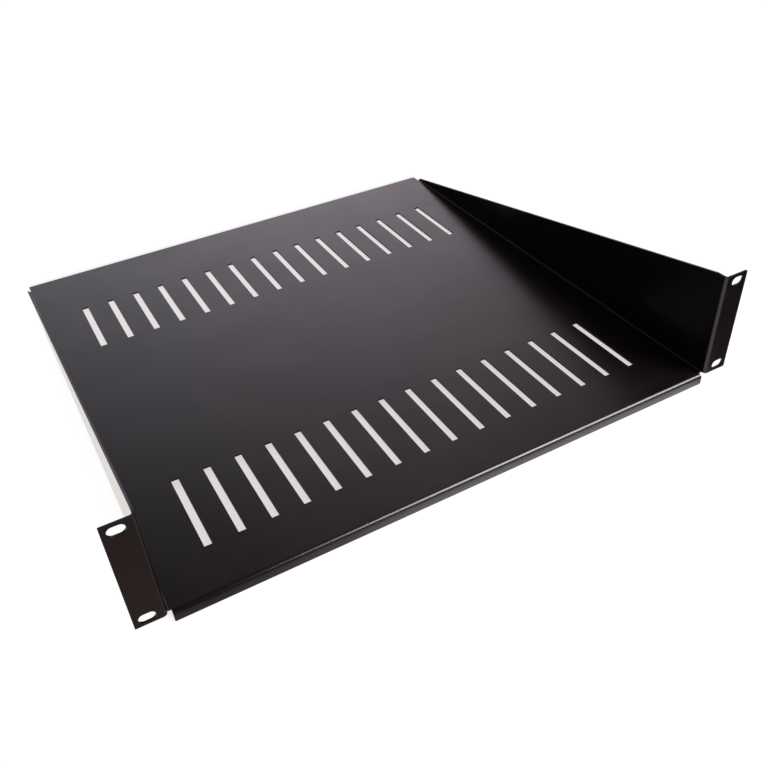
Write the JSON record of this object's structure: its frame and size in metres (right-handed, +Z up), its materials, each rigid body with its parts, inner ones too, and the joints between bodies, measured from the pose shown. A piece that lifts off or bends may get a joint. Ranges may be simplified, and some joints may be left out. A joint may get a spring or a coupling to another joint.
{
  "type": "cantilever rack shelf",
  "caption": "Vented cantilever shelf folded from one steel sheet, with tapered side walls, a front lip and slotted ears that bolt to the front posts of an equipment rack.",
  "frame": {"origin": "centre of the four mounting slots, on the ears' back faces, which seat on the rack's front rails", "axes": "+X to the right seen from the front, +Y back into the rack, +Z up; the tray is level"},
  "size_m": [0.4826, 0.447, 0.0966],
  "materials": {
    "black_powder_coat": "satin black powder coat on folded steel sheet"
  },
  "bodies": {
    "root": {"shelf": "black_powder_coat"}
  },
  "joints": []
}
